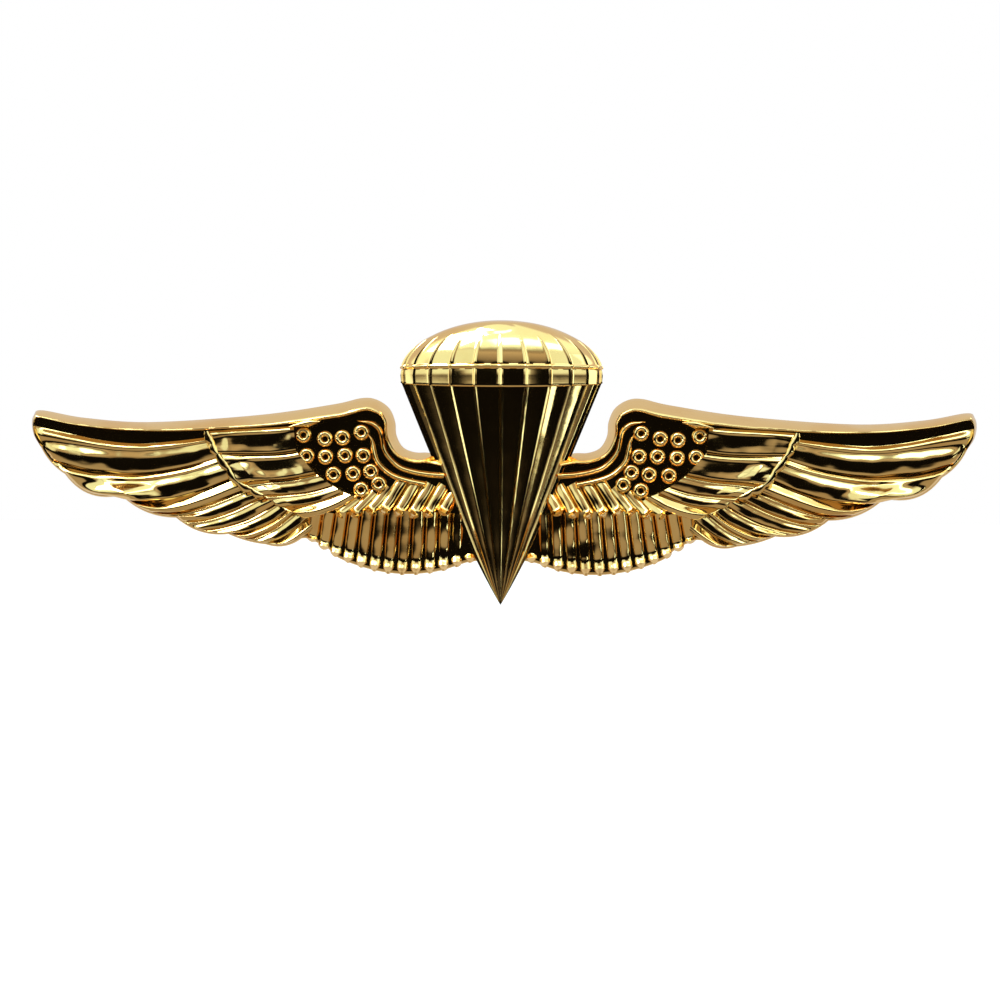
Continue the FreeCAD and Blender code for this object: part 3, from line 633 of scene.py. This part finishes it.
def coverts(name, sign):
    """The shorter feathers that lie over the roots of the flight feathers."""
    out = Builder()
    for k, ((upper, section, *leans), (lower, *_)) in enumerate(zip(COVERT_EDGES, COVERT_EDGES[1:])):
        middle = ((upper[-1][0] + lower[-1][0]) / 2, (upper[-1][1] + lower[-1][1]) / 2)
        high_bulge, low_bulge = COVERT_TIP_BULGES
        tip = bulged(upper[-1], middle, high_bulge, count=8)[:-1]
        tip += bulged(middle, lower[-1], low_bulge, count=8)
        blade(out, upper, lower, tip, section, leans, COVERT_BASE + COVERT_STEP * (k % 2), tip_length=0.04)
        if k < TIPPED_COVERTS:
            ridge(out, tip, COVERT_TIP_WIDTHS, COVERT_TIP_RISE, COVERT_BASE + COVERT_TIP_FOOT, along=24)
    ridge(out, COVERT_KNOB, COVERT_KNOB_WIDTHS, COVERT_KNOB_RISE, COVERT_BASE + COVERT_KNOB_FOOT, along=20)
    out.finish(name, sign, GOLD, "badge", "wings_plate")


def ring_scales(name, sign):
    """The small round scales near the neck, each a ring with a pit."""
    out = Builder()
    for number, (cx, cz) in enumerate(RINGS):
        rows = []
        lean, way = RING_LEAN * math.sin(RING_LEAN_STEP * number), RING_WAY_STEP * number
        for i in range(RING_STEPS + 1):
            angle = 2 * math.pi * i / RING_STEPS
            row = []
            for place in section_places(ROUND, 2):
                r = RING_RADIUS + (place - 0.5) * RING_WIDTH
                tilt = lean * r * math.cos(angle - way)
                height = RING_FOOT + RING_RISE * section_height(ROUND, place) + tilt
                row.append((cx + r * math.cos(angle), cz + r * math.sin(angle), height))
            rows.append(row)
        out.slab(rows, FLOOR)
    out.finish(name, sign, GOLD, "badge", "wings_plate")


def neck_beads(name, sign):
    """Two fine raised lines that follow the neck inside the rim."""
    out = Builder()
    for points in NECK_BEADS:
        ridge(out, points, NECK_BEAD_WIDTHS, NECK_BEAD_RISE, NECK_BEAD_BASE, along=70)
    out.finish(name, sign, GOLD, "badge", "wings_plate")


def row_feather(out, root, tip, width, heights, floor):
    """A short feather: an arched bar with a turned-up round end, from its root's height to its tip's."""
    dx, dz = tip[0] - root[0], tip[1] - root[1]
    length = math.hypot(dx, dz)
    wx, wz = dz / length, -dx / length
    rows = []
    for i in range(ROW_STEPS):
        share = 1 - (1 - i / (ROW_STEPS - 1)) ** ROW_CROWDING
        half = width / 2 * max(rounded_tip(share, ROW_TIP), ROW_TIP_LEAST)
        crown = heights[0] + (heights[1] - heights[0]) * share
        crown -= ROW_DROP * (1 - rounded_tip(share, ROW_DROP_OVER))
        crown += TIP_CURL * max(1 - abs(share - CURL_AT) / CURL_REACH, 0.0)
        row = []
        for place in section_places(BAR, 2):
            offset = (2 * place - 1) * half
            height = crown - ROW_ARCH * width * (1 - section_height(BAR, place))
            row.append((root[0] + dx * share + wx * offset, root[1] + dz * share + wz * offset, height))
        rows.append(row)
    out.slab(rows, floor)


def rows_of_down(name, sign):
    """The two rows of short feathers along the wing's foot."""
    out = Builder()
    roots = smooth(LOWER_ROW_ROOTS, LOWER_ROW_COUNT)
    tips = smooth(LOWER_ROW_TIPS, LOWER_ROW_COUNT)
    for number, (root, tip) in enumerate(zip(roots, tips)):
        sunk = ROW_SINK * max(1 - number / SUNK_FEATHERS, 0)
        heights = (LOWER_ROW_HEIGHTS[0] - sunk, LOWER_ROW_HEIGHTS[1])
        row_feather(out, root, tip, LOWER_ROW_WIDTH, heights, RECESS)
    for root, tip in UPPER_ROW:
        row_feather(out, root, tip, UPPER_ROW_WIDTH, UPPER_ROW_HEIGHTS, FLOOR)
    out.finish(name, sign, GOLD, "badge", "wings_plate")


# --- Parachute -----------------------------------------------------------------------------------
GORES = 12
PER_GORE = 20
RIB_SHARPNESS = 9
WIDEST_Z = 7.7
SKIRT_Z = 7.12
SKIRT_SAG = 0.32
HEM_Z = 8.28
SKIRT_BAND = [              # height, share of the canopy's half width and depth, and sag in the middle
    (SKIRT_Z - 0.03, 0.95, SKIRT_SAG),
    (SKIRT_Z - 0.02, 0.975, SKIRT_SAG),
    (SKIRT_Z + 0.05, 0.99, SKIRT_SAG),
    (SKIRT_Z + 0.15, 0.986, SKIRT_SAG * 0.9),
    (WIDEST_Z, 0.992, SKIRT_SAG * 0.4),
    (HEM_Z - 0.25, 0.985, 0.0),
    (HEM_Z - 0.18, 0.982, 0.0),
]
SKIRT_RIB, SKIRT_FLUTE = 0.13, 0.05
HEM_BEAD = 0.14
HEM_SHARE = 0.985
HEM_RIB = 0.08
HEM_STEPS = 4
DOME_FOOT_Z = HEM_Z + HEM_BEAD * 1.5
DOME_STEPS = 32
DOME_RIB, DOME_FLUTE = 0.13, 0.015
DOME_POWER = 2.3
RIB_FADE_AT, RIB_FADE_OVER = 0.66, 0.3  # the ribs end where the dome is this share of its half width
CROWN_SHARE = 0.002         # the dome's topmost row is this narrow
CROWN_EDGE = 1.2            # the dome still stands this far off the sheet at its crown
CROWN_ROUND = 0.08          # and rounds off over this share of its height
VENT = (-0.3, 11.12, 1.3, 0.32)         # the cap over the crown: centre x, z, and half sizes
VENT_RISE = 0.045
VENT_END, VENT_SLOPE = 1.15, 0.3        # the cap ends at this many half sizes, and falls over this many
CONE_TOP_Z = SKIRT_Z + 0.1
CONE_SHARE = 0.975
CONE_STEPS = 48
CONE_POWER = 0.92           # the cone swells slightly between its top and its point
CONE_POINT = 0.02
CONE_FLARE = 4              # its ribs grow to full height over one part in this many, from the point
CONE_RIB = 0.2
CONE_FLUTES = (0.07, 0.03)  # depth that grows towards the top, and depth that the flare brings


def chute_row(z, half, depth, rib, flute, sag):
    """Points across the parachute at one height, with raised ribs and sunk flutes between them."""
    row = []
    for k in range(GORES * PER_GORE + 1):
        angle = math.pi * k / (GORES * PER_GORE)
        wave = abs(math.sin(math.pi * k / PER_GORE))
        swell = rib * (1 - wave) ** RIB_SHARPNESS - flute * wave
        x = -(half + swell) * math.cos(angle)
        row.append((CHUTE_X + x, z - sag * math.sin(angle), SHEET + (depth + swell) * math.sin(angle)))
    return row


def chute_slab(out, layers, floor):
    """A closed half round of the parachute, with a floor that has no ribs."""
    rows = [chute_row(*layer) for layer in layers]
    rows = [[(x, z, height + VENT_RISE * vent_share(x, z)) for x, z, height in row] for row in rows]
    under = [chute_row(z, half + rib, 0.0, 0.0, 0.0, sag) for z, half, _, rib, _, sag in layers]
    out.slab(rows, floor, under)


def vent_share(x, z):
    """1 on the cap over the crown, 0 off it."""
    across, up, half, tall = VENT
    reach = math.hypot((x - across) / half, (z - up) / tall)
    return clamped((VENT_END - reach) / VENT_SLOPE)


def canopy():
    """The skirt band, the hem and the dome, with a rib at each seam."""
    out = Builder()
    layers = []
    for z, share, sag in SKIRT_BAND:
        layers.append((z, CANOPY_HALF * share, CANOPY_DEPTH * share, SKIRT_RIB, SKIRT_FLUTE, sag))
    for k in range(HEM_STEPS + 1):
        turn = math.pi * k / HEM_STEPS
        swell = HEM_BEAD * math.sin(turn)
        half, depth = CANOPY_HALF * HEM_SHARE + swell, CANOPY_DEPTH * HEM_SHARE + swell
        layers.append((HEM_Z - HEM_BEAD * math.cos(turn), half, depth, HEM_RIB, 0.0, 0.0))
    tall = CROWN_Z - WIDEST_Z
    first = math.asin((DOME_FOOT_Z - WIDEST_Z) / tall)
    for i in range(DOME_STEPS + 1):
        angle = first + (math.pi / 2 - first) * i / DOME_STEPS
        rise = math.sin(angle)
        share = max(math.cos(angle), CROWN_SHARE)
        fade = clamped((share - RIB_FADE_AT) / RIB_FADE_OVER)
        depth = CROWN_EDGE + (CANOPY_DEPTH - CROWN_EDGE) * (1 - rise ** DOME_POWER)
        depth *= rounded_tip(rise, CROWN_ROUND)
        z = WIDEST_Z + tall * rise
        layers.append((z, CANOPY_HALF * share, depth, DOME_RIB * fade, DOME_FLUTE * fade, 0.0))
    chute_slab(out, layers, SHEET)
    out.finish("parachute_canopy", 1, GOLD, "badge", "parachute", sharp=60, wave=0.1)


def suspension_lines():
    """The half cone of lines under the skirt: narrow ribs with hollow flutes between."""
    out = Builder()
    layers = []
    for i in range(CONE_STEPS + 1):
        share = i / CONE_STEPS
        z = APEX_Z + (CONE_TOP_Z - APEX_Z) * share
        swell = share ** CONE_POWER
        half = max(CANOPY_HALF * CONE_SHARE * swell, CONE_POINT)
        depth = max(CONE_DEPTH * swell, CONE_POINT)
        flare = min(share * CONE_FLARE, 1)
        flute = CONE_FLUTES[0] * share + CONE_FLUTES[1] * flare
        layers.append((z, half, depth, CONE_RIB * flare, flute, 0.0))
    chute_slab(out, layers, SHEET + CONE_SETBACK)
    out.finish("suspension_lines", 1, GOLD, "badge", "parachute", sharp=60, wave=0.1)


# --- Stage ---------------------------------------------------------------------------------------
CAMERA_ACROSS = 0.07396     # metres that the frame spans at the badge
CAMERA_LENS = 100
CAMERA_YAW = math.radians(2.0)
CAMERA_ROLL = math.radians(-0.25)
CAMERA_AIM = Vector((-0.00009, -0.0003, -0.00148))
CAMERA_CLIP = 0.001
FLOOR_REACH, FLOOR_Z = 1.5, -0.016
FLOOR_LOOK = {
    "Base Color": (0.3, 0.3, 0.3, 1),
    "Roughness": 0.9,
    "Emission Color": (1, 1, 1, 1),
    "Emission Strength": 0.85,
}
KEY_PLACE = Vector((-0.25, -0.2, 0.5))
KEY_SIZE = 0.3
KEY_POWER = 3.0


def make_camera():
    """A touch to the viewer's right of straight on, with a long lens."""
    data = bpy.data.cameras.new("camera")
    data.lens = CAMERA_LENS
    data.clip_start = CAMERA_CLIP
    camera = bpy.data.objects.new("camera", data)
    distance = CAMERA_ACROSS / 2 / math.tan(math.atan(data.sensor_width / 2 / CAMERA_LENS))
    camera.location = CAMERA_AIM + distance * Vector((math.sin(CAMERA_YAW), -math.cos(CAMERA_YAW), 0))
    camera.rotation_euler = (math.pi / 2, CAMERA_ROLL, CAMERA_YAW)
    bpy.context.scene.collection.objects.link(camera)
    bpy.context.scene.camera = camera


def make_floor():
    """A plain pale floor below the badge."""
    mesh = bpy.data.meshes.new("floor")
    corners = [(-1, -1), (1, -1), (1, 1), (-1, 1)]
    mesh.from_pydata([(x * FLOOR_REACH, y * FLOOR_REACH, FLOOR_Z) for x, y in corners], [], [(0, 1, 2, 3)])
    floor = bpy.data.objects.new("floor", mesh)
    bpy.context.scene.collection.objects.link(floor)
    material = bpy.data.materials.new("floor")
    material.use_nodes = True
    for name, value in FLOOR_LOOK.items():
        material.node_tree.nodes["Principled BSDF"].inputs[name].default_value = value
    mesh.materials.append(material)
    floor.visible_glossy = False


def make_key_light():
    """A soft square light above the viewer's left shoulder, aimed at the badge."""
    data = bpy.data.lights.new("key", "AREA")
    data.shape = "RECTANGLE"
    data.size = data.size_y = KEY_SIZE
    data.energy = KEY_POWER
    light = bpy.data.objects.new("key", data)
    light.location = KEY_PLACE
    light.rotation_euler = (-KEY_PLACE).to_track_quat("-Z", "Y").to_euler()
    bpy.context.scene.collection.objects.link(light)


def math_node(tree, operation, a, b=None):
    node = tree.nodes.new("ShaderNodeMath")
    node.operation = operation
    for socket, value in zip(node.inputs, (a, b)):
        if isinstance(value, (int, float)):
            socket.default_value = value
        elif value is not None:
            link(tree, value, socket)
    return node.outputs["Value"]


def step_node(tree, value, low, high):
    """0 below low, 1 above high, smooth between; low may be the larger."""
    node = shader_node(tree, "ShaderNodeMapRange")
    node.interpolation_type = "SMOOTHSTEP"
    link(tree, value, node.inputs["Value"])
    node.inputs["From Min"].default_value = min(low, high)
    node.inputs["From Max"].default_value = max(low, high)
    node.inputs["To Min"].default_value = 0.0 if low < high else 1.0
    node.inputs["To Max"].default_value = 1.0 if low < high else 0.0
    return node.outputs["Result"]


AHEAD_EDGE = (0.0, 0.05)    # a softbox is seen only from its own side


def softbox(tree, direction, azimuth, elevation, half_width, half_height, edge):
    """1 inside a rectangle of sky. Azimuth 0 is towards the camera and 90 to the right."""
    az, el = math.radians(azimuth), math.radians(elevation)
    centre = Vector((math.sin(az) * math.cos(el), -math.cos(az) * math.cos(el), math.sin(el)))
    right = Vector((math.cos(az), math.sin(az), 0.0))
    up = right.cross(centre) * -1

    def along(axis):
        node = tree.nodes.new("ShaderNodeVectorMath")
        node.operation = "DOT_PRODUCT"
        link(tree, direction, node.inputs[0])
        node.inputs[1].default_value = axis
        return node.outputs["Value"]

    ahead = along(centre)
    mask = step_node(tree, ahead, *AHEAD_EDGE)
    for axis, half in ((right, half_width), (up, half_height)):
        slope = math_node(tree, "ABSOLUTE", math_node(tree, "DIVIDE", along(axis), ahead))
        reach = math.tan(math.radians(half))
        mask = math_node(tree, "MULTIPLY", mask, step_node(tree, slope, reach + edge, reach))
    return mask


# The room that the badge reflects. Bands are brightness against the height of the direction, from -1
# (down) to 1 (up). Pairs are where a smooth step between two parts of the room starts and ends.
SKY_BANDS = [(-1.0, 0.35), (-0.6, 0.4), (-0.43, 0.34), (-0.35, 0.05), (-0.3, 0.004), (0.29, 0.004),
             (0.35, 0.26), (0.46, 0.42), (0.54, 0.55), (0.58, 0.3), (0.62, 0.35), (0.67, 1.25),
             (0.8, 1.4), (1.0, 1.25)]
TABLE_TINT = (1.0, 0.86, 0.64, 1)
SKY_TINT = (0.8, 1.0, 0.93, 1)
BACKDROP_TINT = (1.0, 0.97, 1.0, 1)
BACKDROP = 0.68
BACKDROP_EDGE = (-0.04, 0.14)
SKY_EDGE = (0.58, 0.66)
SIDE_GLOW = 1.15
SIDE_EDGE = (0.3, 0.44)
SIDE_FOOT = (0.04, 0.16)
SOFTBOXES = [  # azimuth, elevation, half width and half height in degrees, edge, brightness
    (47, -17.6, 12, 0.9, 0.01, 3.0),
    (-75, 22, 14, 20, 0.06, 1.5),
    (78, 20, 16, 20, 0.06, 2.0),
    (-40, 27, 20, 12, 0.1, 1.1),
    (20, 52, 18, 5, 0.06, 4.0),
]


def sky_brightness(tree, height):
    """Brightness by SKY_BANDS, for a height from -1 to 1."""
    ramp = tree.nodes.new("ShaderNodeFloatCurve")
    curve = ramp.mapping.curves[0]
    brightest = max(value for _, value in SKY_BANDS)
    points = [((z + 1) / 2, value / brightest) for z, value in SKY_BANDS]
    for _ in range(len(points) - 2):
        curve.points.new(0.5, 0.5)
    for point, place in zip(curve.points, points):
        point.location = place
        point.handle_type = "VECTOR"
    ramp.mapping.update()
    share = math_node(tree, "MULTIPLY", math_node(tree, "ADD", height, 1.0), 0.5)
    link(tree, share, ramp.inputs["Value"])
    return math_node(tree, "MULTIPLY", ramp.outputs["Value"], brightest)


def front_light(tree, direction, axes):
    """Brightness of the room on the camera's side of the badge, and the share of it that is white."""
    front = sky_brightness(tree, axes.outputs["Z"])
    white = step_node(tree, axes.outputs["Z"], *SKY_EDGE)
    side = step_node(tree, math_node(tree, "ABSOLUTE", axes.outputs["X"]), *SIDE_EDGE)
    side = math_node(tree, "MULTIPLY", side, step_node(tree, axes.outputs["Z"], *SIDE_FOOT))
    lights = [(softbox(tree, direction, *place), brightness) for *place, brightness in SOFTBOXES]
    for mask, brightness in lights + [(side, SIDE_GLOW)]:
        white = math_node(tree, "MAXIMUM", white, mask)
        front = math_node(tree, "MAXIMUM", front, math_node(tree, "MULTIPLY", mask, brightness))
    return front, white


def make_world():
    """A photographer's table: white behind and above, dark round the camera, a few softboxes."""
    world = bpy.data.worlds.new("studio")
    world.use_nodes = True
    bpy.context.scene.world = world
    tree = world.node_tree
    tree.nodes.clear()
    direction = tree.nodes.new("ShaderNodeTexCoord").outputs["Generated"]
    axes = tree.nodes.new("ShaderNodeSeparateXYZ")
    link(tree, direction, axes.inputs["Vector"])
    front, white = front_light(tree, direction, axes)
    behind = step_node(tree, axes.outputs["Y"], *BACKDROP_EDGE)
    hue = mix_node(tree, "RGBA", white, TABLE_TINT, SKY_TINT)
    room = tree.nodes.new("ShaderNodeBackground")
    link(tree, mix_node(tree, "RGBA", behind, hue, BACKDROP_TINT), room.inputs["Color"])
    link(tree, mix_node(tree, "FLOAT", behind, front, BACKDROP), room.inputs["Strength"])
    plain = shader_node(tree, "ShaderNodeBackground", Color=(1, 1, 1, 1), Strength=1.0)
    rays = tree.nodes.new("ShaderNodeLightPath")
    mix = tree.nodes.new("ShaderNodeMixShader")
    link(tree, rays.outputs["Is Camera Ray"], mix.inputs["Fac"])
    link(tree, room.outputs["Background"], mix.inputs[1])
    link(tree, plain.outputs["Background"], mix.inputs[2])
    output = tree.nodes.new("ShaderNodeOutputWorld")
    link(tree, mix.outputs["Shader"], output.inputs["Surface"])


# --- Clutches ------------------------------------------------------------------------------------
SPRING_CORNER = 0.7
SPRING_MOUTH = 0.5
SPRING_STEPS = (8, 8, 10)   # along its open side, round each corner, and along its closed side
WIRE_STEPS = 14


def spring_path(long, wide):
    """Half of the spring's loop as (x, z) off the post, from its mouth round one end to the far middle."""
    mouth_steps, corner_steps, back_steps = SPRING_STEPS
    straight = long - SPRING_CORNER
    path = [(SPRING_MOUTH + (straight - SPRING_MOUTH) * i / mouth_steps, -wide) for i in range(mouth_steps)]
    for start, up in ((-90, -1), (0, 1)):
        for i in range(corner_steps + 1):
            turn = math.radians(start + 90 * i / corner_steps)
            path.append((straight + SPRING_CORNER * math.cos(turn),
                         up * (wide - SPRING_CORNER) + SPRING_CORNER * math.sin(turn)))
    return path + [(straight * (1 - i / back_steps), wide) for i in range(1, back_steps + 1)]


def wire_mesh(name, path, radius, middle, way):
    """A round wire along a path drawn about middle, which runs outwards along way."""
    verts, faces = [], []
    for (u, w), (across, up) in zip(path, side_ways(path)):
        for k in range(WIRE_STEPS):
            turn = 2 * math.pi * k / WIRE_STEPS
            out, back = radius * math.cos(turn), radius * math.sin(turn)
            spot = Vector((middle.x + way * (u + across * out), middle.y + back, middle.z + w + up * out))
            verts.append(spot * MM)
    for near in range(0, len(verts) - WIRE_STEPS, WIRE_STEPS):
        far = near + WIRE_STEPS
        for k in range(WIRE_STEPS):
            n = (k + 1) % WIRE_STEPS
            faces.append((near + k, near + n, far + n, far + k))
    faces += [tuple(range(WIRE_STEPS)), tuple(range(len(verts) - WIRE_STEPS, len(verts)))]
    return closed_mesh(name, verts, faces)


def spring_half(name, side, way):
    """Half of a clutch's wire spring, which presses on its finger, made in place of the CAD spring."""
    node = f"clutch_spring_{side}"
    low, high = (Vector(corner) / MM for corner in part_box(node))
    middle = (low + high) / 2
    wire = (high.y - low.y) / 2
    path = spring_path((high.x - low.x) / 2 - wire, (high.z - low.z) / 2 - wire)
    piece = new_piece(wire_mesh(name, path, wire, middle, way), name, STEEL)
    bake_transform(piece)
    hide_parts(node)


def paint_hardware():
    """Materials for the CAD pieces that stay."""
    finishes = {"post": BACK_GOLD, "solder": BACK_GOLD, "clutch": BRASS, "finger": BRASS}
    for name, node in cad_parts.items():
        for start, finish in finishes.items():
            if name.startswith(start):
                for place in node.material_slots:
                    place.material = finish
                break


def main():
    make_camera()
    make_floor()
    make_world()
    make_key_light()
    bpy.context.scene.view_settings.view_transform = "Standard"
    wing_sheet()
    wing_back()
    for side, sign in (("right", 1), ("left", -1)):
        wing_rim(f"wing_rim_{side}", sign)
        primaries(f"flight_feathers_{side}", sign)
        coverts(f"covert_feathers_{side}", sign)
        ring_scales(f"ring_scales_{side}", sign)
        neck_beads(f"neck_beads_{side}", sign)
        rows_of_down(f"down_rows_{side}", sign)
        spring_half(f"spring_{side}_outer", side, sign)
        spring_half(f"spring_{side}_inner", side, -sign)
    canopy()
    suspension_lines()
    paint_hardware()


main()
